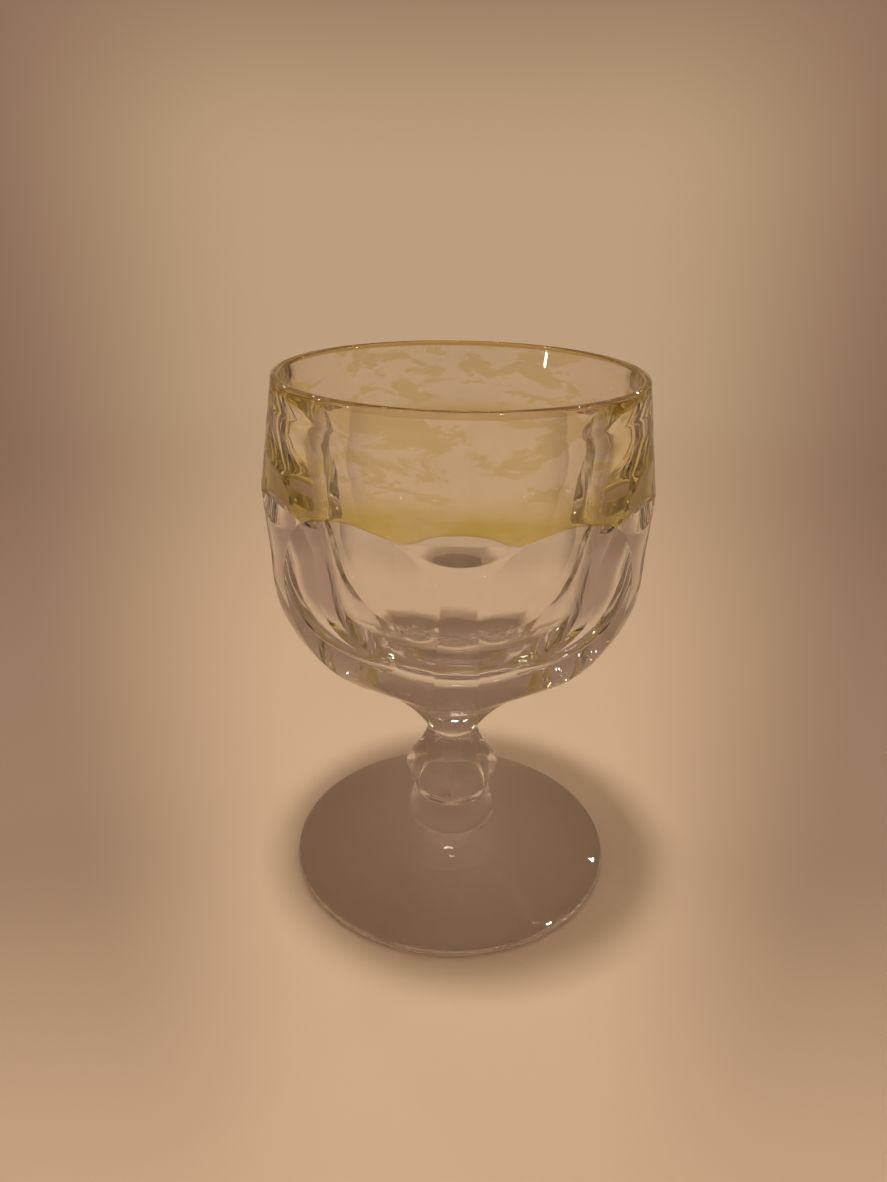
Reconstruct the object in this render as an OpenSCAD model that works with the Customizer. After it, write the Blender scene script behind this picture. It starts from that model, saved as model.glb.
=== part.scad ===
// Short-stemmed cognac goblet in thick clear glass: a bowl cut with arched panels and lens cuts
// under an amber-stained band, a faceted knop, a round collar and a plain conical foot.
// Sizes are in millimetres. The glass stands on z = 0 with its axis on z.

/* [Foot] */
// Diameter of the foot
foot_d = 77; // [66:0.5:88]
// Thickness of the foot at its rounded edge
foot_edge = 1.6; // [1.2:0.1:2.6]
// Height at which the foot's cone meets the collar
foot_rise = 9.5; // [7:0.5:13]
// Depth of the hollow ground into the underside
foot_hollow = 1.8; // [0.8:0.1:3]
// Width of the flat ring that the glass rests on
rest_ring_w = 4; // [2:0.5:8]

/* [Collar] */
// Height of the collar between foot and knop
collar_h = 8.3; // [7:0.1:11]
// Greatest diameter of the collar, just above the foot
collar_d = 21.2; // [20:0.2:25]
// Diameter of the collar's top, under the knop
collar_top_d = 17; // [16.6:0.2:19]
// Rounding of the collar's lower edge
collar_bead = 1.2; // [0.8:0.1:2]

/* [Knop] */
// Number of facets round the knop
knop_sides = 8; // [6:1:10]
// Height of the knop
knop_h = 17.7; // [15:0.1:21]
// Diameter of the knop over its arrises, at the belly
knop_d = 22.4; // [19:0.2:26]
// Height of the belly's widest part above the knop's base
knop_belly_h = 6.2; // [5:0.1:7]
// Radius of the facets over the belly
knop_belly_arc = 8.2; // [7.8:0.1:9]
// Radius of the hollow sweep from belly to neck
knop_throat_arc = 14; // [9:0.5:20]

/* [Bowl] */
// Height of the bowl from the knop to the lip
bowl_h = 84.5; // [78:0.5:92]
// Diameter of the neck where the bowl stands on the knop
neck_d = 11.7; // [10:0.1:12.2]
// Greatest diameter of the bowl
belly_d = 82.6; // [78:0.2:88]
// Height above the neck at which the round belly begins
belly_h = 48.5; // [44:0.5:52]
// Radius of the round belly
belly_arc = 35.6; // [32:0.2:40]
// Radius of the hollow flare from belly to neck
flare_arc = 45; // [40:1:60]
// Height above the neck at which the bowl starts to close
shoulder_h = 61.5; // [58:0.5:66]
// Outer diameter of the lip, under its rounding
lip_d = 76.3; // [72:0.2:80]
// Thickness of the lip
lip_t = 1.8; // [1.4:0.1:3]
// Diameter of the cavity where its wall starts to thin out to the lip
mouth_d = 70.4; // [68:0.2:71.6]
// Height under the lip over which the wall thins out
mouth_h = 7; // [4:0.5:12]
// Slope of the cavity's wall from upright
cavity_draft = 5; // [2:0.5:7]
// Radius of the corner between the cavity's wall and its floor
cavity_corner = 15; // [11:0.5:18]
// Height of that corner's centre above the neck
cavity_corner_h = 45.5; // [43:0.5:50]
// Radius of the dished floor of the cavity
cavity_floor_arc = 70; // [60:1:100]

/* [Panels] */
// Number of arched panels, and of the lens cuts between them
panel_count = 6; // [5:1:7]
// Distance across the flats at the deepest part of the panels
panel_across = 74.5; // [72:0.1:76]
// Height above the neck at which the panels are deepest
panel_deep_h = 46.5; // [44:0.5:49]
// Radius of the run-out at the arched top of a panel
panel_runout = 44; // [38:0.5:52]
// Radius of a panel down the round belly
panel_arc = 35; // [33:0.2:37]
// Distance across the flats at the neck
panel_neck_across = 11.2; // [9.6:0.1:11.4]

/* [Lens cuts] */
// Distance across the straight grooves of opposite lens cuts
lens_across = 79.6; // [78.6:0.1:80.2]
// Slope of the face above the groove, from upright
lens_upper_tilt = 21.5; // [16:0.5:28]
// Slope of the face below the groove, from upright
lens_lower_tilt = 23; // [16:0.5:28]

/* [Amber band] */
// Thickness of the stained layer
band_t = 0.3; // [0.2:0.05:0.6]
// Distance of the band's upper edge below the lip
band_lip_gap = 1.4; // [1.2:0.1:6]

/* [Hidden] */
$fn = 96;
// Finer division for the wide, flat arcs under the foot and in the cavity
wide_arc_fn = 720;

// Overshoot of every cutter past the surface that it cuts
cut_over = 1;
// Depth by which two arcs that touch run into each other, so that they cross cleanly
blend = 0.02;

foot_r = foot_d / 2;
collar_r = collar_d / 2;
collar_seat_r = collar_r - collar_bead;
collar_z = foot_rise;
knop_z = collar_z + collar_h;
neck_z = knop_z + knop_h;
belly_z = neck_z + belly_h;
shoulder_z = neck_z + shoulder_h;
lip_z = neck_z + bowl_h;
lip_round = lip_t / 2;
belly_r = belly_d / 2;
lip_r = lip_d / 2;
neck_r = neck_d / 2;

// Straight wall from shoulder to lip
wall_slope = (belly_r - lip_r) / (lip_z - lip_round - shoulder_z);
function wall_r(z) = belly_r - wall_slope * (z - shoulder_z);

// The belly arc is upright where it begins, and the flare touches it from outside
belly_centre = [belly_r - belly_arc, belly_z];
panel_r = panel_across / 2;
panel_z = neck_z + panel_deep_h;
panel_centre = [panel_r - panel_arc, panel_z];

// Centre of an arc of radius r that passes through point p and touches, from outside and
// by the depth of the blend, the arc of radius big_r about big_c
function flare_centre(p, r, big_c, big_r) =
    let (d = big_c - p)
    let (l = norm(d))
    let (u = d / l)
    let (reach = big_r + r - blend)
    let (along = (r * r - reach * reach + l * l) / (2 * l))
    p + along * u + sqrt(r * r - along * along) * [u.y, -u.x];

function touch_point(big_c, big_r, c) = big_c + big_r * (c - big_c) / norm(c - big_c);

// The corner touches the cavity's wall, and the dished floor touches the corner
mouth_r = mouth_d / 2;
mouth_z = lip_z - mouth_h;
corner_z = neck_z + cavity_corner_h;
corner_x = mouth_r - (mouth_z - corner_z) * tan(cavity_draft) - cavity_corner / cos(cavity_draft);
corner_touch = [corner_x, corner_z] + cavity_corner * [cos(cavity_draft), -sin(cavity_draft)];
floor_reach = cavity_floor_arc - cavity_corner;
floor_z = corner_z + sqrt(floor_reach * floor_reach - corner_x * corner_x);
floor_touch = [0, floor_z] + cavity_floor_arc * [corner_x, corner_z - floor_z] / floor_reach;
band_top_z = lip_z - band_lip_gap;
lens_groove_r = lens_across / 2;
panel_pitch = 360 / panel_count;

// Half outline below height big_c.y: a round belly that sweeps through a hollow flare to the neck
module belly_outline(big_c, big_r, flare_r, neck) {
    c = flare_centre([neck, neck_z], flare_r, big_c, big_r);
    touch = touch_point(big_c, big_r, c);
    difference() {
        union() {
            intersection() {
                translate(big_c) circle(big_r);
                translate([0, touch.y]) square([big_c.x + big_r, big_c.y - touch.y]);
            }
            translate([0, neck_z]) square([touch.x, touch.y - neck_z]);
        }
        translate(c) circle(flare_r);
    }
}

// Half section of the uncut bowl, before its cavity
module blank_outline() {
    polygon([
        [0, belly_z],
        [belly_r, belly_z],
        [belly_r, shoulder_z],
        [lip_r, lip_z - lip_round],
        [lip_r - lip_t, lip_z - lip_round],
        [0, lip_z - lip_round]
    ]);
    belly_outline(belly_centre, belly_arc, flare_arc, neck_r);
    translate([lip_r - lip_round, lip_z - lip_round]) circle(lip_round);
}

// Half section of the cavity: a tapered wall, a round corner and a dished floor
module cavity_outline() {
    corner_h = corner_z - floor_z + cavity_floor_arc;
    polygon([
        [0, floor_touch.y],
        floor_touch,
        [corner_x, corner_z],
        corner_touch,
        [mouth_r, mouth_z],
        [lip_r - lip_t, lip_z - lip_round],
        [0, lip_z - lip_round]
    ]);
    translate([0, lip_z - lip_round]) square([lip_r - lip_t, lip_round + cut_over]);
    translate([0, floor_z - cavity_floor_arc])
        intersection() {
            translate([corner_x, corner_h]) circle(cavity_corner + blend);
            translate([corner_x, 0]) square([mouth_r, corner_h]);
        }
    translate([0, floor_z - cavity_floor_arc])
        intersection() {
            translate([0, cavity_floor_arc]) circle(cavity_floor_arc, $fn = wide_arc_fn);
            square([floor_touch.x, corner_h]);
        }
}

// Side outline of what one panel cut takes away, from the arch down to the neck
module panel_outline() {
    reach = belly_r + cut_over;
    c = flare_centre([panel_neck_across / 2, neck_z], flare_arc, panel_centre, panel_arc);
    touch = touch_point(panel_centre, panel_arc, c);
    intersection() {
        translate([panel_r + panel_runout, panel_z]) circle(panel_runout);
        translate([0, panel_z]) square([reach, lip_z - panel_z]);
    }
    difference() {
        translate([0, touch.y]) square([reach, panel_z - touch.y]);
        translate(panel_centre) circle(panel_arc);
    }
    intersection() {
        translate(c) circle(flare_arc);
        translate([0, neck_z - cut_over]) square([reach, touch.y - neck_z + 2 * cut_over]);
    }
}

// Side outline of a lens cut: two slopes that meet in a straight groove
module lens_outline() {
    depth = belly_r - lens_groove_r + cut_over;
    translate([lens_groove_r, shoulder_z])
        polygon([[0, 0], [depth, depth / tan(lens_upper_tilt)], [depth, -depth / tan(lens_lower_tilt)]]);
}

// Stands a side outline up and carries it straight across the glass
module across(width) {
    rotate([90, 0, 0]) linear_extrude(height = width, center = true) children();
}

module bowl_cuts() {
    for (i = [0 : panel_count - 1])
        rotate([0, 0, -90 + i * panel_pitch]) {
            across(belly_r) lens_outline();
            rotate([0, 0, panel_pitch / 2]) across(belly_d) panel_outline();
        }
}

module foot() {
    hollow_r = foot_r - rest_ring_w;
    hollow_arc = (hollow_r * hollow_r + foot_hollow * foot_hollow) / (2 * foot_hollow);
    color([0.80, 0.74, 0.70, 0.5])
        rotate_extrude()
            difference() {
                union() {
                    polygon([
                        [0, 0],
                        [foot_r - foot_edge / 2, 0],
                        [foot_r - foot_edge / 2, foot_edge],
                        [collar_seat_r, foot_rise],
                        [0, foot_rise]
                    ]);
                    translate([foot_r - foot_edge / 2, foot_edge / 2]) circle(foot_edge / 2);
                }
                translate([0, foot_hollow - hollow_arc]) circle(hollow_arc, $fn = wide_arc_fn);
            }
}

module collar() {
    inset = collar_r - collar_top_d / 2;
    side_h = collar_h - collar_bead;
    side_arc = (side_h * side_h + inset * inset) / (2 * inset);
    color([0.92, 0.90, 0.88, 0.5])
        rotate_extrude() {
            translate([0, collar_z]) square([collar_seat_r, collar_bead]);
            intersection() {
                translate([collar_seat_r, collar_z + collar_bead]) circle(collar_bead);
                translate([0, collar_z]) square([collar_r, collar_bead]);
            }
            intersection() {
                translate([collar_r - side_arc, collar_z + collar_bead]) circle(side_arc);
                translate([0, collar_z + collar_bead]) square([collar_r, side_h]);
            }
        }
}

// Side outline of the knop between two of its facets, which bulge over the belly and sweep in to the neck
module facet_outline() {
    flat = cos(180 / knop_sides) / 2;
    belly_c = [knop_d * flat - knop_belly_arc, -knop_z - knop_belly_h];
    throat_c = flare_centre([neck_d * flat, -neck_z], knop_throat_arc, belly_c, knop_belly_arc);
    touch = touch_point(belly_c, knop_belly_arc, throat_c);
    mirror([0, 1])
        difference() {
            union() {
                translate([-knop_d, -neck_z]) square([knop_d, knop_h]);
                translate([0, -neck_z]) square([touch.x, touch.y + neck_z]);
                intersection() {
                    translate(belly_c) circle(knop_belly_arc);
                    translate([0, touch.y]) square([knop_d, -knop_z - touch.y]);
                }
            }
            translate(throat_c) circle(knop_throat_arc);
        }
}

module knop() {
    color([0.90, 0.87, 0.85, 0.5])
        intersection_for (i = [0 : knop_sides - 1])
            rotate([0, 0, -90 + (i + 0.5) * 360 / knop_sides])
                across(2 * knop_d) facet_outline();
}

module bowl() {
    color([0.94, 0.92, 0.90, 0.4])
        difference() {
            rotate_extrude() blank_outline();
            rotate_extrude() cavity_outline();
            rotate_extrude()
                polygon([
                    [belly_r - band_t, shoulder_z],
                    [belly_r + cut_over, shoulder_z],
                    [belly_r + cut_over, band_top_z],
                    [wall_r(band_top_z) - band_t, band_top_z]
                ]);
            bowl_cuts();
        }
}

module amber_band() {
    color([0.80, 0.68, 0.28, 0.6])
        difference() {
            rotate_extrude()
                polygon([
                    [belly_r - band_t, shoulder_z],
                    [belly_r, shoulder_z],
                    [wall_r(band_top_z), band_top_z],
                    [wall_r(band_top_z) - band_t, band_top_z]
                ]);
            bowl_cuts();
        }
}

foot();
collar();
knop();
bowl();
amber_band();
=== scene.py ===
import math
from functools import cache
import bpy
import bmesh
from mathutils import Matrix, Vector


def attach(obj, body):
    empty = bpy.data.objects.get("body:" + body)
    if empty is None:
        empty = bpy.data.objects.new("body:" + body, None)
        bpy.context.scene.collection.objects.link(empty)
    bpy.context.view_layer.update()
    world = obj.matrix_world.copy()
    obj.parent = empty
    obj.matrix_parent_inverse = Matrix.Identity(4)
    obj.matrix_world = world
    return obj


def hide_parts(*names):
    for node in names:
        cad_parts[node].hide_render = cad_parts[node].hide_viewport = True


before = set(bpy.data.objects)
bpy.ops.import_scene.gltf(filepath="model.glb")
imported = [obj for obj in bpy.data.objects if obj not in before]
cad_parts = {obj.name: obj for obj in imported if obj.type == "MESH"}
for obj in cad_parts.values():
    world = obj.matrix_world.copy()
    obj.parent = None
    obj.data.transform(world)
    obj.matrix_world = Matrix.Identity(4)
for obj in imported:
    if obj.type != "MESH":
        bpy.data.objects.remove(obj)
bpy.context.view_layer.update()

# Foot
# A plain disc of clear glass, drawn out thin and conical while hot, with a rounded edge.
# Its underside is ground slightly hollow, so the glass stands on a flat outer ring.
MM = 0.001
FOOT_R = 38.5
FOOT_EDGE = 1.6
FOOT_RISE = 9.5
FOOT_HOLLOW = 1.8
FOOT_EDGE_TURN = (-90, 75)
REST_RING = 4.0
COLLAR_SEAT_R = 9.4
SLOPE_STEPS = 18
ROUND_STEPS = 192
MERGE_GAP = 1e-7
ROUND_SHARP = 32
LEVEL_GAP = 0.02
LEVEL_NORMAL = 0.9
GLASS_IOR = 1.51
RIPPLE_DETAIL = 2
CLEAR_TINT = (0.97, 0.955, 0.94)


def arc(centre, radius, start, end, count):
    """Points along an arc in the plane of a profile, from one angle in degrees to another."""
    turn = math.radians(end - start)
    first = math.radians(start)
    angles = [first + turn * i / count for i in range(count + 1)]
    return [(centre[0] + radius * math.cos(a), centre[1] + radius * math.sin(a)) for a in angles]


def along(start, end, count):
    """Points from a start to an end, without the start."""
    return [(start[0] + (end[0] - start[0]) * i / count, start[1] + (end[1] - start[1]) * i / count)
            for i in range(1, count + 1)]


def turned(profile):
    """A bmesh turned round the axis from a profile of (radius, height) points in millimetres."""
    bm = bmesh.new()
    verts = [bm.verts.new((r * MM, 0, z * MM)) for r, z in profile]
    edges = [bm.edges.new(pair) for pair in zip(verts, verts[1:])]
    bmesh.ops.spin(bm, geom=verts + edges, cent=(0, 0, 0), axis=(0, 0, 1), angle=math.tau,
                   steps=ROUND_STEPS, use_merge=True, use_duplicate=False)
    bmesh.ops.remove_doubles(bm, verts=bm.verts, dist=MERGE_GAP)
    bmesh.ops.recalc_face_normals(bm, faces=bm.faces)
    return bm


def placed(bm, name, materials, node, sharp=ROUND_SHARP):
    """A finished piece: smooth but for its edges, standing for its node."""
    mesh = bpy.data.meshes.new(name)
    bm.to_mesh(mesh)
    bm.free()
    for material in materials:
        mesh.materials.append(material)
    mesh.polygons.foreach_set("use_smooth", [True] * len(mesh.polygons))
    mesh.set_sharp_from_angle(angle=math.radians(sharp))
    piece = bpy.data.objects.new(name, mesh)
    bpy.context.scene.collection.objects.link(piece)
    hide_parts(node)
    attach(piece, "root")


def clear_glass(name, colour, roughness, ripple, ripple_size):
    """Fire-polished glass: fully clear, with the faint ripple that working it hot leaves."""
    material = bpy.data.materials.new(name)
    material.use_nodes = True
    nodes = material.node_tree.nodes
    links = material.node_tree.links
    shader = nodes["Principled BSDF"]
    shader.inputs["Base Color"].default_value = (*colour, 1)
    shader.inputs["Roughness"].default_value = roughness
    shader.inputs["IOR"].default_value = GLASS_IOR
    shader.inputs["Transmission Weight"].default_value = 1
    place = nodes.new("ShaderNodeTexCoord")
    noise = nodes.new("ShaderNodeTexNoise")
    noise.inputs["Scale"].default_value = 1 / (ripple_size * MM)
    noise.inputs["Detail"].default_value = RIPPLE_DETAIL
    bump = nodes.new("ShaderNodeBump")
    bump.inputs["Strength"].default_value = 1
    bump.inputs["Distance"].default_value = ripple * MM
    links.new(place.outputs["Object"], noise.inputs["Vector"])
    links.new(noise.outputs["Fac"], bump.inputs["Height"])
    links.new(bump.outputs["Normal"], shader.inputs["Normal"])
    return material


def weld(name, colour):
    """A joint where two gathers have run together: no surface, so light goes straight on."""
    material = bpy.data.materials.new(name)
    material.use_nodes = True
    nodes = material.node_tree.nodes
    nodes.remove(nodes["Principled BSDF"])
    through = nodes.new("ShaderNodeBsdfTransparent")
    through.inputs["Color"].default_value = (*colour, 1)
    surface = nodes["Material Output"].inputs["Surface"]
    material.node_tree.links.new(through.outputs["BSDF"], surface)
    return material


foot_glass = clear_glass("foot glass", CLEAR_TINT, roughness=0.02, ripple=0.02, ripple_size=14)
fused = weld("fused joint", (1, 1, 1))


def weld_faces(bm, z, radius):
    """Gives the flat faces at height z, inside a radius, the second material, the joint's."""
    for face in bm.faces:
        centre = face.calc_center_median()
        level = abs(centre.z - z * MM) < LEVEL_GAP * MM and abs(face.normal.z) > LEVEL_NORMAL
        if level and math.hypot(centre.x, centre.y) < radius * MM:
            face.material_index = 1


hollow_r = FOOT_R - REST_RING
hollow_arc = (hollow_r ** 2 + FOOT_HOLLOW ** 2) / (2 * FOOT_HOLLOW)
hollow_half = math.degrees(math.asin(hollow_r / hollow_arc))
edge_r = FOOT_EDGE / 2
underside = arc((0, FOOT_HOLLOW - hollow_arc), hollow_arc, 90, 90 - hollow_half, 20)
edge = arc((FOOT_R - edge_r, edge_r), edge_r, *FOOT_EDGE_TURN, 10)
slope = along(edge[-1], (COLLAR_SEAT_R, FOOT_RISE), SLOPE_STEPS)
foot_bm = turned(underside + edge + slope + [(0, FOOT_RISE)])
weld_faces(foot_bm, FOOT_RISE, COLLAR_SEAT_R)
placed(foot_bm, "foot_disc", [foot_glass, fused], "foot")

# Collar
# A button of clear glass between foot and knop, tooled round with a full side and a rounded
# lower edge. It is fused to both while hot.
COLLAR_TOP = 17.8
COLLAR_R = 10.6
COLLAR_TOP_R = 8.5
COLLAR_BEAD = 1.2
BEAD_START = -83
COLLAR_ROUND = 0.35
WELD_GAP = 0.01
# Painted light: the collar's warm tint, and the tenth of it that scatters like milky glass,
# brighten it in place of the caustic light that the stem focuses onto the floor beneath.
COLLAR_TINT_AND_PAINTED_LIGHT = (0.98, 0.90, 0.83)
COLLAR_CLEAR_BESIDE_PAINTED_LIGHT = 0.9
collar_glass_and_painted_light = clear_glass("collar glass and painted light", COLLAR_TINT_AND_PAINTED_LIGHT, roughness=0.0, ripple=0.01, ripple_size=7)
collar_shader = collar_glass_and_painted_light.node_tree.nodes["Principled BSDF"]
collar_shader.inputs["Transmission Weight"].default_value = COLLAR_CLEAR_BESIDE_PAINTED_LIGHT

collar_low = FOOT_RISE + WELD_GAP
widest_z = FOOT_RISE + COLLAR_BEAD
side_h = COLLAR_TOP - widest_z
inset = COLLAR_R - COLLAR_TOP_R
side_arc = (side_h ** 2 + inset ** 2) / (2 * inset)
side_turn = math.degrees(math.asin((side_h - COLLAR_ROUND) / side_arc))
bead = arc((COLLAR_SEAT_R, widest_z), COLLAR_BEAD, BEAD_START, 0, 8)
side = arc((COLLAR_R - side_arc, widest_z), side_arc, 0, side_turn, 14)
crown_c = (side[-1][0] - COLLAR_ROUND, COLLAR_TOP - COLLAR_ROUND)
crown = arc(crown_c, COLLAR_ROUND, side_turn, 90, 4)
collar_seat = [(0, collar_low), (COLLAR_SEAT_R, collar_low)]
collar_bm = turned(collar_seat + bead + side[1:] + crown + [(0, COLLAR_TOP)])
weld_faces(collar_bm, collar_low, COLLAR_SEAT_R)
weld_faces(collar_bm, COLLAR_TOP, COLLAR_TOP_R)
placed(collar_bm, "collar_button", [collar_glass_and_painted_light, fused], "collar")

# Knop
# The stem's knop, cut to eight sides that bulge over a low belly and sweep in to the bowl's neck.
# The sides meet in slightly softened arrises. It stands on the collar and carries the bowl.
KNOP_SIDES = 8
KNOP_R = 11.2
KNOP_BELLY_Z = 24.0
KNOP_BELLY_ARC = 8.2
KNOP_THROAT_ARC = 14.0
NECK_R = 5.85
NECK_Z = 35.5
ARRIS = 0.2
KNOP_ROWS = 32
UPRIGHT_LEAST = 0.1
stem_glass = clear_glass("stem glass", CLEAR_TINT, roughness=0.0, ripple=0.01, ripple_size=7)


def flare_centre(end, radius, big_centre, big_radius):
    """Centre of an arc through an end point that touches a bigger arc from outside."""
    reach = big_centre - end
    span = reach.length
    ahead = (radius ** 2 - (big_radius + radius) ** 2 + span ** 2) / (2 * span)
    aside = math.sqrt(radius ** 2 - ahead ** 2)
    u = reach / span
    return end + u * ahead + Vector((u.y, -u.x)) * aside


knop_low = COLLAR_TOP + WELD_GAP
flat_share = math.cos(math.pi / KNOP_SIDES)
belly_c = Vector((KNOP_R * flat_share - KNOP_BELLY_ARC, -KNOP_BELLY_Z))
throat_end = Vector((NECK_R * flat_share, -NECK_Z))
throat_c = flare_centre(throat_end, KNOP_THROAT_ARC, belly_c, KNOP_BELLY_ARC)
throat_z = -(belly_c + (throat_c - belly_c).normalized() * KNOP_BELLY_ARC).y


def knop_radius(z):
    """Radius of the knop over its arrises."""
    if z < throat_z:
        return (belly_c.x + math.sqrt(KNOP_BELLY_ARC ** 2 - (z + belly_c.y) ** 2)) / flat_share
    return (throat_c.x - math.sqrt(KNOP_THROAT_ARC ** 2 - (z + throat_c.y) ** 2)) / flat_share


heights = [knop_low + (NECK_Z - knop_low) * i / KNOP_ROWS for i in range(KNOP_ROWS + 1)]
rings = [(knop_radius(z), z) for z in heights]
knop_bm = bmesh.new()
bmesh.ops.create_circle(knop_bm, cap_ends=True, segments=KNOP_SIDES, radius=rings[0][0] * MM)
bmesh.ops.translate(knop_bm, verts=knop_bm.verts, vec=(0, 0, rings[0][1] * MM))
top = list(knop_bm.faces)
for (r0, z0), (r1, z1) in zip(rings, rings[1:]):
    grown = bmesh.ops.extrude_face_region(knop_bm, geom=top)["geom"]
    verts = [g for g in grown if isinstance(g, bmesh.types.BMVert)]
    if z0 != knop_low:
        bmesh.ops.delete(knop_bm, geom=top, context="FACES_ONLY")
    bmesh.ops.translate(knop_bm, verts=verts, vec=(0, 0, (z1 - z0) * MM))
    bmesh.ops.scale(knop_bm, verts=verts, vec=(r1 / r0, r1 / r0, 1))
    top = [g for g in grown if isinstance(g, bmesh.types.BMFace)]
bmesh.ops.rotate(knop_bm, verts=knop_bm.verts, matrix=Matrix.Rotation(-math.pi / 2, 3, "Z"))
bmesh.ops.recalc_face_normals(knop_bm, faces=knop_bm.faces)
uprights = [e for e in knop_bm.edges
            if abs(e.verts[0].co.z - e.verts[1].co.z) > UPRIGHT_LEAST * MM]
bmesh.ops.bevel(knop_bm, geom=uprights, offset=ARRIS * MM, offset_type="OFFSET", affect="EDGES",
                segments=3, profile=0.5, material=-1)
weld_faces(knop_bm, knop_low, KNOP_R)
weld_faces(knop_bm, NECK_Z, NECK_R)
placed(knop_bm, "faceted_knop", [stem_glass, fused], "knop")

# Bowl
# The cup, worked thick in clear glass: a round blank whose wall is cut into flat, arched panels.
# Narrow pillars stand between the panels, each headed by a lens cut that runs from arch to arch.
PANELS = 6
LIP_Z = 120.0
LIP_R = 38.15
LIP_T = 1.8
BELLY_R = 41.3
BELLY_Z = 84.0
BELLY_ARC = 35.6
FLARE_ARC = 45.0
SHOULDER_Z = 97.0
PANEL_R = 37.25
PANEL_Z = 82.0
PANEL_RUNOUT = 44.0
PANEL_ARC = 35.0
PANEL_NECK_R = 5.6
LENS_R = 39.8
LENS_UP = math.tan(math.radians(21.5))
LENS_DOWN = math.tan(math.radians(23))
BAND_T = 0.3
BAND_TOP = 118.6
FLARE_Z = 113.0
FLARE_R = 35.2
CAVITY_DRAFT = math.radians(5)
CORNER_Z = 81.0
CORNER_R = 15.0
FLOOR_ARC = 70.0
SOFTNESS = 0.10
SCALLOP_REACH = (-6, 8)
HALVINGS = 30
LEAST_EDGE_RISE = 0.12
LEAST_LENS_DROP = 0.2
LEAST_PILLAR = math.radians(2)
LEAST_PANEL = math.radians(4)
ARRIS_SPREAD = 0.4
LENS_APPROACH = 91
APPROACH_SHARES = (0, 0.3, 0.6, 0.85)
NEAR_LENS = (0.9, 0.45, 0.2)
SETTLE_ROUNDS = 4
LINE_INSET = 0.5
LIP_MARGIN = 0.01
CUT_SHARP = 40
LIP_TINT = (0.68, 0.54, 0.26)
HALF_PITCH = math.pi / PANELS
WALL_SLOPE = (BELLY_R - LIP_R) / (LIP_Z - LIP_T / 2 - SHOULDER_Z)


class Sweep:
    """A round belly that runs through a hollow flare to the neck, as radius over height."""

    def __init__(self, radius, start_z, belly, neck):
        self.centre = Vector((radius - belly, start_z))
        self.belly = belly
        self.flare = flare_centre(Vector((neck, NECK_Z)), FLARE_ARC, self.centre, belly)
        away = (self.flare - self.centre).normalized()
        self.touch_z = (self.centre + away * belly).y

    def radius(self, z):
        """Radius at a height, on the flare or on the belly."""
        if z < self.touch_z:
            return self.flare.x - math.sqrt(FLARE_ARC ** 2 - (z - self.flare.y) ** 2)
        return self.centre.x + math.sqrt(self.belly ** 2 - (z - self.centre.y) ** 2)


blank_sweep = Sweep(BELLY_R, BELLY_Z, BELLY_ARC, NECK_R)
panel_sweep = Sweep(PANEL_R, PANEL_Z, PANEL_ARC, PANEL_NECK_R)


def blank(z):
    """Radius of the uncut bowl."""
    if z > SHOULDER_Z:
        return BELLY_R - WALL_SLOPE * (z - SHOULDER_Z)
    return BELLY_R if z > BELLY_Z else blank_sweep.radius(z)


def panel(z):
    """Distance of a panel's flat from the axis: it runs out upwards in the arch."""
    if z > PANEL_Z:
        return PANEL_R + PANEL_RUNOUT - math.sqrt(PANEL_RUNOUT ** 2 - (z - PANEL_Z) ** 2)
    return panel_sweep.radius(z)


def lens(z):
    """Distance of a lens cut's faces from the axis: deepest in the groove."""
    rise = z - SHOULDER_Z
    return LENS_R + (rise * LENS_UP if rise > 0 else -rise * LENS_DOWN)


def soft_min(a, b):
    """The lesser of two radii, rounded over where they cross."""
    overlap = max(SOFTNESS - abs(a - b), 0)
    return min(a, b) - overlap * overlap / (4 * SOFTNESS)


def skin(angle, z):
    """Outer radius at an angle from the nearest pillar's middle."""
    flat = panel(z) / math.cos(HALF_PITCH - abs(angle))
    return soft_min(soft_min(blank(z), flat), lens(z) / math.cos(angle))


@cache
def scallop(angle):
    """Height of the amber band's lower edge: along an arch or over a lens cut."""
    inner = BELLY_R - BAND_T
    top = (math.cos(angle) * inner - LENS_R) / (LENS_UP + WALL_SLOPE * math.cos(angle))
    height = SHOULDER_Z + max(top, LEAST_EDGE_RISE)
    low, high = (SHOULDER_Z + reach for reach in SCALLOP_REACH)
    lean = math.cos(HALF_PITCH - abs(angle))
    for _ in range(HALVINGS):
        mid = (low + high) / 2
        if panel(mid) < lean * (blank(mid) - BAND_T):
            low = mid
        else:
            high = mid
    return max(height, low)


def lens_foot(angle):
    """Height of a lens cut's lower edge."""
    drop = (BELLY_R * math.cos(angle) - LENS_R) / LENS_DOWN
    return SHOULDER_Z - max(drop, LEAST_LENS_DROP)


def pillar_half(z):
    """Half angle of a pillar, where the panels beside it begin."""
    cut = math.acos(min(panel(z) / blank(z), 1))
    return min(max(HALF_PITCH - cut, LEAST_PILLAR), HALF_PITCH - LEAST_PANEL)


# Columns of the wall in half a pitch: pillar, softened arris, panel
COLUMN_SHARES = [i / 8 for i in range(8)] + [1 + i / 8 for i in range(8)]
COLUMN_SHARES += [2 + i / 7 for i in range(8)]
HALF_COLUMNS = len(COLUMN_SHARES) - 1


def column_angle(index, z):
    """Angle of a column from the pillar's middle, for columns 0 to HALF_COLUMNS."""
    share = COLUMN_SHARES[index]
    arris = pillar_half(z)
    soft = min(ARRIS_SPREAD / blank(z), arris / 2)
    stops = [0, arris - soft, arris + soft, HALF_PITCH]
    k = min(int(share), 2)
    return stops[k] + (stops[k + 1] - stops[k]) * (share - k)


def spread(stops, counts):
    """Heights that step evenly between stops."""
    out = []
    for (a, b), n in zip(zip(stops, stops[1:]), counts):
        out += [a + (b - a) * i / n for i in range(n)]
    return out + [stops[-1]]


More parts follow.
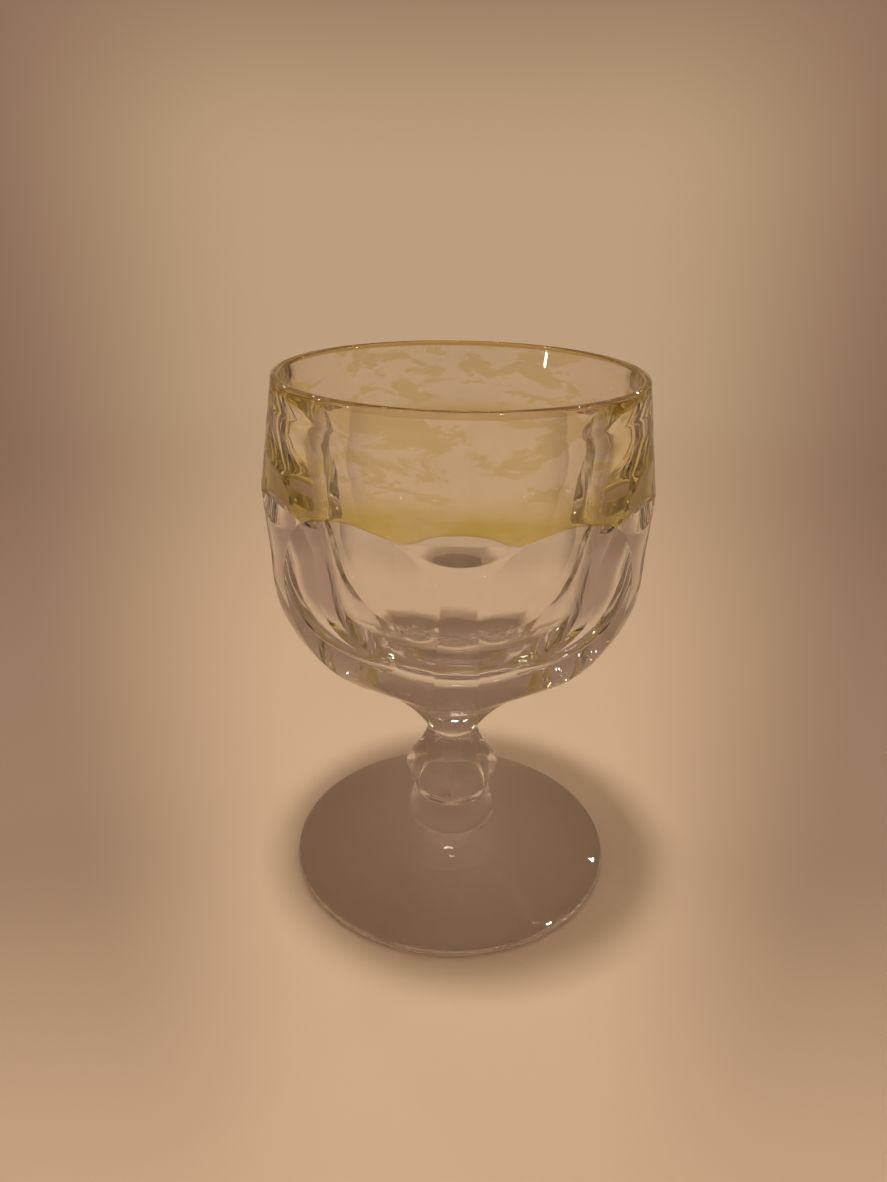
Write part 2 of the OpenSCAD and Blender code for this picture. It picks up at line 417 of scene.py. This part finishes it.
LOW_ROWS = spread([NECK_Z, 40, 52, 72, 84, LENS_APPROACH], [5, 16, 22, 10, 8])
EDGE_SHARES = [0, 0.06, 0.12, 0.2, 0.35, 0.5, 0.65, 0.8, 0.88, 0.94]


def wall_rows(angle):
    """Heights of the wall's rows at an angle, from the neck to the amber band's edge."""
    foot, groove, edge = lens_foot(angle), SHOULDER_Z, scallop(angle)
    rows = list(LOW_ROWS[:-1])
    near = [foot - d for d in NEAR_LENS]
    rows += [LENS_APPROACH + (near[0] - LENS_APPROACH) * t for t in APPROACH_SHARES] + near
    rows += [foot + (groove - foot) * t for t in EDGE_SHARES]
    rows += [groove + (edge - groove) * t for t in EDGE_SHARES] + [edge]
    return rows


WALL_ROWS = len(wall_rows(0))
UNDER_BAND = [i / 12 for i in range(1, 13)]

lip_mid = LIP_R - LIP_T / 2
lip_z = LIP_Z - LIP_T / 2
lip = [(blank(BAND_TOP), BAND_TOP)] + arc((lip_mid, lip_z), LIP_T / 2, 0, 180, 12)
draft_in = (FLARE_Z - CORNER_Z) * math.tan(CAVITY_DRAFT)
corner_x = FLARE_R - draft_in - CORNER_R / math.cos(CAVITY_DRAFT)
floor_z = CORNER_Z + math.sqrt((FLOOR_ARC - CORNER_R) ** 2 - corner_x ** 2)
floor_turn = math.degrees(math.atan2(CORNER_Z - floor_z, corner_x))
corner = arc((corner_x, CORNER_Z), CORNER_R, -math.degrees(CAVITY_DRAFT), floor_turn, 16)
well = arc((0, floor_z), FLOOR_ARC, floor_turn, -90, 12)
inner_lip = (LIP_R - LIP_T, lip_z)
cavity = along(inner_lip, (FLARE_R, FLARE_Z), 6) + along((FLARE_R, FLARE_Z), corner[0], 14)
cavity += corner[1:] + well[1:]

bowl_low = NECK_Z + WELD_GAP
profile = [(0.0, bowl_low)]
profile += [(blank(z), max(z, bowl_low)) for z in wall_rows(0)]
under_r = blank(SHOULDER_Z) - LINE_INSET
profile += [(under_r, scallop(0) + (BAND_TOP - scallop(0)) * t) for t in UNDER_BAND]
profile += lip + cavity

COLUMNS = 2 * PANELS * HALF_COLUMNS
bowl_bm = bmesh.new()
row_of = bowl_bm.verts.layers.int.new("row")
line = []
for row, (r, z) in enumerate(profile):
    vert = bowl_bm.verts.new((0, -r * MM, z * MM))
    vert[row_of] = row
    line.append(vert)
edges = [bowl_bm.edges.new(pair) for pair in zip(line, line[1:])]
bmesh.ops.spin(bowl_bm, geom=line + edges, cent=(0, 0, 0), axis=(0, 0, 1), angle=math.tau,
               steps=COLUMNS, use_merge=True, use_duplicate=False)


@cache
def wall_point(index, row, rows_of, radius_of):
    """Angle, radius and height of a row's point in one of the columns of half a pitch."""
    angle = column_angle(index, BELLY_Z)
    for _ in range(SETTLE_ROUNDS):
        z = rows_of(angle, row)
        angle = column_angle(index, z)
    return angle, radius_of(angle, z), z


def cut_back(vert, row, rows_of, radius_of):
    """Moves a vertex of the spun blank to where the cut wall is."""
    turn = math.atan2(vert.co.x, -vert.co.y) % math.tau
    column = round(turn / math.tau * COLUMNS) % COLUMNS
    sector, step = divmod(column, 2 * HALF_COLUMNS)
    beyond = step > HALF_COLUMNS
    index = 2 * HALF_COLUMNS - step if beyond else step
    angle, radius, z = wall_point(index, row, rows_of, radius_of)
    whole = (sector + 1) * 2 * HALF_PITCH - angle if beyond else sector * 2 * HALF_PITCH + angle
    vert.co = (radius * math.sin(whole) * MM, -radius * math.cos(whole) * MM, z * MM)


def under_band(angle, z):
    """Radius of the clear glass under the stained layer."""
    return blank(z) - BAND_T - WELD_GAP


def bowl_z(angle, row):
    """Height of one of the bowl's rows, on the wall or under the stained layer."""
    if row < WALL_ROWS:
        return max(wall_rows(angle)[row], bowl_low)
    edge = scallop(angle)
    return edge + (BAND_TOP - edge) * UNDER_BAND[row - WALL_ROWS]


for vert in bowl_bm.verts:
    row = vert[row_of] - 1
    if 0 <= row < WALL_ROWS:
        cut_back(vert, row, bowl_z, skin)
    elif WALL_ROWS <= row < WALL_ROWS + len(UNDER_BAND):
        cut_back(vert, row, bowl_z, under_band)
for face in bowl_bm.faces:
    rows = [v[row_of] for v in face.verts]
    hidden = min(rows) >= WALL_ROWS and max(rows) <= WALL_ROWS + len(UNDER_BAND) + 1
    joined = hidden or min(rows) == 0 and max(rows) <= 1
    at_lip = min(v.co.z for v in face.verts) >= (BAND_TOP - LIP_MARGIN) * MM
    if joined:
        face.material_index = 1
    elif at_lip:
        face.material_index = 2
bmesh.ops.remove_doubles(bowl_bm, verts=bowl_bm.verts, dist=MERGE_GAP)
bmesh.ops.recalc_face_normals(bowl_bm, faces=bowl_bm.faces)
bowl_glass = clear_glass("bowl glass", CLEAR_TINT, roughness=0.0, ripple=0.05, ripple_size=9)
lip_glass = clear_glass("stained lip", LIP_TINT, roughness=0.0, ripple=0.01, ripple_size=9)
placed(bowl_bm, "cut_bowl", [bowl_glass, fused, lip_glass], "bowl", sharp=CUT_SHARP)

# Amber band
# A yellow-amber stain fired into the outside of the upper bowl, from under the lip to the cuts.
# It is worn through in patches, and stands here as a thin layer over the clear glass.
STAIN_WORN = (0.96, 0.94, 0.85)
STAIN_DEEP = (0.66, 0.60, 0.17)
THROUGH_WORN = (0.99, 0.98, 0.94)
THROUGH_DEEP = (0.93, 0.89, 0.60)
PATCH_SIZE = 11.0
PATCH_EDGE = (0.50, 0.56)
PATCH_DEPTH = 0.45
PATCH_FLATTEN = (0.8, 0.8, 1.9)
PATCH_DETAIL = 6
PATCH_ROUGHNESS = 0.65
PATCH_TWIST = 0.5
LOW_STAIN = (SHOULDER_Z + 3, SHOULDER_Z + 10)
LOW_STAIN_DEPTH = 1.8
BAND_MERGE_GAP = 1e-6
BAND_ROWS = [0, 0.012, 0.025, 0.05] + [0.1 + 0.9 * i / 14 for i in range(15)]


def band_z(angle, row):
    """Height of one of the layer's rows, up its outside and down its inside."""
    edge = scallop(angle)
    return edge + (BAND_TOP - edge) * BAND_ROWS[min(row, 2 * len(BAND_ROWS) - 1 - row)]


def band_inside(angle, z):
    """Inner radius of the stained layer."""
    return blank(z) - BAND_T


band_bm = bmesh.new()
row_of = band_bm.verts.layers.int.new("row")
line = []
for row in range(2 * len(BAND_ROWS)):
    vert = band_bm.verts.new((0, -BELLY_R * MM, (SHOULDER_Z + row) * MM))
    vert[row_of] = row
    line.append(vert)
edges = [band_bm.edges.new(pair) for pair in zip(line, line[1:] + line[:1])]
bmesh.ops.spin(band_bm, geom=line + edges, cent=(0, 0, 0), axis=(0, 0, 1), angle=math.tau,
               steps=COLUMNS, use_merge=True, use_duplicate=False)
for vert in band_bm.verts:
    row = vert[row_of]
    cut_back(vert, row, band_z, skin if row < len(BAND_ROWS) else band_inside)
for face in band_bm.faces:
    rows = [v[row_of] for v in face.verts]
    face.material_index = 0 if max(rows) < len(BAND_ROWS) else 1
bmesh.ops.remove_doubles(band_bm, verts=band_bm.verts, dist=BAND_MERGE_GAP)
bmesh.ops.recalc_face_normals(band_bm, faces=band_bm.faces)


def blended(tree, share, first, second):
    """A colour that goes from a first to a second by a share."""
    node = tree.nodes.new("ShaderNodeMix")
    node.data_type = "RGBA"
    node.inputs["A"].default_value = (*first, 1)
    node.inputs["B"].default_value = (*second, 1)
    tree.links.new(share, node.inputs["Factor"])
    return node.outputs["Result"]


def stained(material, socket, worn, deep):
    """Colours a socket from worn to deep: in ragged patches, and more along the lower edge."""
    nodes, links = material.node_tree.nodes, material.node_tree.links
    place = nodes.new("ShaderNodeTexCoord")
    level = nodes.new("ShaderNodeMapping")
    level.inputs["Scale"].default_value = PATCH_FLATTEN
    patches = nodes.new("ShaderNodeTexNoise")
    patches.inputs["Scale"].default_value = 1 / (PATCH_SIZE * MM)
    patches.inputs["Detail"].default_value = PATCH_DETAIL
    patches.inputs["Roughness"].default_value = PATCH_ROUGHNESS
    patches.inputs["Distortion"].default_value = PATCH_TWIST
    ragged = nodes.new("ShaderNodeMapRange")
    ragged.interpolation_type = "SMOOTHSTEP"
    ragged.inputs["From Min"].default_value = PATCH_EDGE[0]
    ragged.inputs["From Max"].default_value = PATCH_EDGE[1]
    ragged.inputs["To Max"].default_value = PATCH_DEPTH
    height = nodes.new("ShaderNodeSeparateXYZ")
    low = nodes.new("ShaderNodeMapRange")
    low.interpolation_type = "SMOOTHSTEP"
    low.inputs["From Min"].default_value = LOW_STAIN[0] * MM
    low.inputs["From Max"].default_value = LOW_STAIN[1] * MM
    low.inputs["To Min"].default_value = LOW_STAIN_DEPTH
    low.inputs["To Max"].default_value = 0
    uneven = nodes.new("ShaderNodeMath")
    uneven.operation = "MULTIPLY"
    both = nodes.new("ShaderNodeMath")
    both.operation = "MAXIMUM"
    links.new(place.outputs["Object"], level.inputs["Vector"])
    links.new(level.outputs["Vector"], patches.inputs["Vector"])
    links.new(place.outputs["Object"], height.inputs["Vector"])
    links.new(patches.outputs["Fac"], ragged.inputs["Value"])
    links.new(height.outputs["Z"], low.inputs["Value"])
    links.new(low.outputs["Result"], uneven.inputs[0])
    links.new(patches.outputs["Fac"], uneven.inputs[1])
    links.new(ragged.outputs["Result"], both.inputs[0])
    links.new(uneven.outputs["Value"], both.inputs[1])
    links.new(blended(material.node_tree, both.outputs["Value"], worn, deep), socket)


amber_glass = clear_glass("amber stain", STAIN_WORN, roughness=0.0, ripple=0.012, ripple_size=11)
amber_shader = amber_glass.node_tree.nodes["Principled BSDF"]
stained(amber_glass, amber_shader.inputs["Base Color"], STAIN_WORN, STAIN_DEEP)
stain_through = weld("stain in depth", THROUGH_WORN)
through = next(n for n in stain_through.node_tree.nodes if n.type == "BSDF_TRANSPARENT")
stained(stain_through, through.inputs["Color"], THROUGH_WORN, THROUGH_DEEP)
placed(band_bm, "amber_stain_band", [amber_glass, stain_through], "amber_band",
       sharp=CUT_SHARP)

# Studio
# A plain pale floor of matt paper with painted shade that darkens it to the sides, in place of a
# pool of light falling off; far off it turns into a painted glow and runs out into a brown room.
# An even room light, one soft lamp overhead, and small bulbs that catch the cut edges.
FLOOR_HALF = 3.0
FLOOR_DROP = 0.0001
FLOOR_PALE = (0.62, 0.463, 0.309)
FLOOR_PAINTED_SHADE = (0.345, 0.237, 0.162)
PAPER_ROUGHNESS = 0.9
PAPER_SHINE = 0.1
PALE_APEX = 0.1825
LEAST_DEPTH = 0.01
PALE_SIDES = (0.17, 0.55)
SIDES_START = (-0.12, 0.0)
PALE_RISE = (0.0, 0.28)
FLOOR_FADE = (0.10, 0.55)
PAINTED_POOL_SEEN = (0.51, 0.345, 0.213)
ROOM_SEEN = (0.25, 0.145, 0.088)
ROOM_LIGHT = (0.39, 0.28, 0.22)
scene = bpy.context.scene

floor_bm = bmesh.new()
bmesh.ops.create_grid(floor_bm, x_segments=1, y_segments=1, size=FLOOR_HALF)
bmesh.ops.translate(floor_bm, verts=floor_bm.verts, vec=(0, 0, -FLOOR_DROP))
floor_mesh = bpy.data.meshes.new("floor")
floor_bm.to_mesh(floor_mesh)
floor_bm.free()
paper = bpy.data.materials.new("floor paper and painted light")
paper.use_nodes = True
nodes, links = paper.node_tree.nodes, paper.node_tree.links
matt = nodes["Principled BSDF"]
matt.inputs["Roughness"].default_value = PAPER_ROUGHNESS
matt.inputs["Specular IOR Level"].default_value = PAPER_SHINE


def maths(tree, operation, first, second=0.0):
    """One step of arithmetic in a node tree, on sockets or plain numbers."""
    node = tree.nodes.new("ShaderNodeMath")
    node.operation = operation
    for value, socket in zip((first, second), node.inputs):
        if isinstance(value, bpy.types.NodeSocket):
            tree.links.new(value, socket)
        else:
            socket.default_value = value
    return node.outputs["Value"]


def eased(tree, value, limits):
    """A soft step of a value, from 0 below the limits to 1 above them."""
    node = tree.nodes.new("ShaderNodeMapRange")
    node.interpolation_type = "SMOOTHSTEP"
    node.inputs["From Min"].default_value, node.inputs["From Max"].default_value = limits
    tree.links.new(value, node.inputs["Value"])
    return node.outputs["Result"]


def painted_pool_share(tree, split, depth):
    """How much of the pale middle there is at a place or in a direction, by its bearing; the darker
    sides outside it are painted shade, in place of a pool of light falling off.
    """
    aside = maths(tree, "DIVIDE", maths(tree, "ABSOLUTE", split.outputs["X"]), depth)
    behind = eased(tree, split.outputs["Y"], SIDES_START)
    beside = maths(tree, "MULTIPLY", eased(tree, aside, PALE_SIDES), behind)
    return maths(tree, "SUBTRACT", 1, beside)


def surfaced(tree, output, share, first, second):
    """Joins two shaders by a share and gives them to the tree's output."""
    either = tree.nodes.new("ShaderNodeMixShader")
    tree.links.new(share, either.inputs["Fac"])
    tree.links.new(first, either.inputs[1])
    tree.links.new(second, either.inputs[2])
    tree.links.new(either.outputs["Shader"], tree.nodes[output].inputs["Surface"])


place = nodes.new("ShaderNodeTexCoord")
split = nodes.new("ShaderNodeSeparateXYZ")
links.new(place.outputs["Object"], split.inputs["Vector"])
tree = paper.node_tree
ahead = maths(tree, "ADD", split.outputs["Y"], PALE_APEX)
pale = painted_pool_share(tree, split, maths(tree, "MAXIMUM", ahead, LEAST_DEPTH))
# Painted shade: the paper's colour darkens from pale to tan towards the sides behind the glass, in
# place of a pool of light that falls off.
links.new(blended(tree, pale, FLOOR_PAINTED_SHADE, FLOOR_PALE), matt.inputs["Base Color"])
# Painted glow: far off, the floor is an emission in the seen colours, pale in the middle and brown
# to the sides, in place of the lit floor.
distance = nodes.new("ShaderNodeVectorMath")
distance.operation = "LENGTH"
links.new(place.outputs["Object"], distance.inputs[0])
far = eased(tree, distance.outputs["Value"], FLOOR_FADE)
glow = nodes.new("ShaderNodeEmission")
links.new(blended(tree, pale, ROOM_SEEN, PAINTED_POOL_SEEN), glow.inputs["Color"])
surfaced(tree, "Material Output", far, matt.outputs["BSDF"], glow.outputs["Emission"])
floor_mesh.materials.append(paper)
floor = bpy.data.objects.new("floor", floor_mesh)
scene.collection.objects.link(floor)

world = bpy.data.worlds.new("studio")
scene.world = world
world.use_nodes = True
nodes, links = world.node_tree.nodes, world.node_tree.links
seen = nodes["Background"]
place = nodes.new("ShaderNodeTexCoord")
split = nodes.new("ShaderNodeSeparateXYZ")
links.new(place.outputs["Generated"], split.inputs["Vector"])
tree = world.node_tree
# Painted light: low in the middle behind, the world seen takes the pale of the painted pool,
# carrying the floor's glow on to the horizon, and is brown elsewhere.
middle = painted_pool_share(tree, split, maths(tree, "MAXIMUM", split.outputs["Y"], LEAST_DEPTH))
low = maths(tree, "SUBTRACT", 1, eased(tree, split.outputs["Z"], PALE_RISE))
pale = maths(tree, "MULTIPLY", middle, low)
links.new(blended(tree, pale, ROOM_SEEN, PAINTED_POOL_SEEN), seen.inputs["Color"])
lit = nodes.new("ShaderNodeBackground")
lit.inputs["Color"].default_value = (*ROOM_LIGHT, 1)
path = nodes.new("ShaderNodeLightPath")
surfaced(tree, "World Output", path.outputs["Diffuse Depth"], seen.outputs["Background"],
         lit.outputs["Background"])

LAMP_COLOUR = (1, 0.98, 0.95)
LAMP_PLACE = (-0.03, -0.01, 0.7)
LAMP_AIM = (0, 0, 0)
LAMP_SIZE = 0.07
LAMP_POWER = 2.45
BULB_AIM = (0, 0, 0.09)
BULB_SIZE = 0.014
BULB_POWER = 0.05


def soft_lamp(name, place, aim, size, power):
    """A square soft box that looks at a point."""
    lamp = bpy.data.lights.new(name, "AREA")
    lamp.size = size
    lamp.energy = power
    lamp.color = LAMP_COLOUR
    stand = bpy.data.objects.new(name, lamp)
    stand.location = place
    stand.rotation_euler = (Vector(aim) - Vector(place)).to_track_quat("-Z", "Y").to_euler()
    scene.collection.objects.link(stand)
    return stand


BULBS = [(0.16, -0.34, 0.42), (-0.22, -0.30, 0.40), (0.42, -0.05, 0.36), (-0.45, 0.02, 0.34),
         (-0.12, 0.14, 0.46), (0.24, 0.12, 0.44), (0.30, 0.34, 0.30), (-0.34, 0.30, 0.28),
         (0.40, -0.25, 0.22), (-0.42, -0.20, 0.20), (-0.38, 0.42, 0.25)]
above = soft_lamp("above", LAMP_PLACE, LAMP_AIM, LAMP_SIZE, LAMP_POWER)
above.visible_glossy = False
for i, place in enumerate(BULBS):
    soft_lamp(f"bulb_{i}", place, BULB_AIM, BULB_SIZE, BULB_POWER)

NEAR_CLIP = 0.01
PHOTO_FOCAL = 888
PHOTO_HEIGHT = 1182
CAMERA_PLACE = (-2.92, -182.51, 153.15)
CAMERA_PITCH = 24.355
CAMERA_ROLL = 0.935
CAMERA_YAW = -0.062
camera = bpy.data.cameras.new("camera")
camera.sensor_fit = "VERTICAL"
camera.angle = 2 * math.atan(PHOTO_HEIGHT / 2 / PHOTO_FOCAL)
camera.clip_start = NEAR_CLIP
view = bpy.data.objects.new("camera", camera)
view.matrix_world = (Matrix.Translation(Vector(CAMERA_PLACE) * MM)
                     @ Matrix.Rotation(math.radians(CAMERA_YAW), 4, "Z")
                     @ Matrix.Rotation(math.radians(90 - CAMERA_PITCH), 4, "X")
                     @ Matrix.Rotation(math.radians(CAMERA_ROLL), 4, "Z"))
scene.collection.objects.link(view)
scene.camera = view
scene.view_settings.view_transform = "Standard"
scene.cycles.max_bounces = 32
scene.cycles.transmission_bounces = 32
scene.cycles.glossy_bounces = 16
scene.cycles.transparent_max_bounces = 48
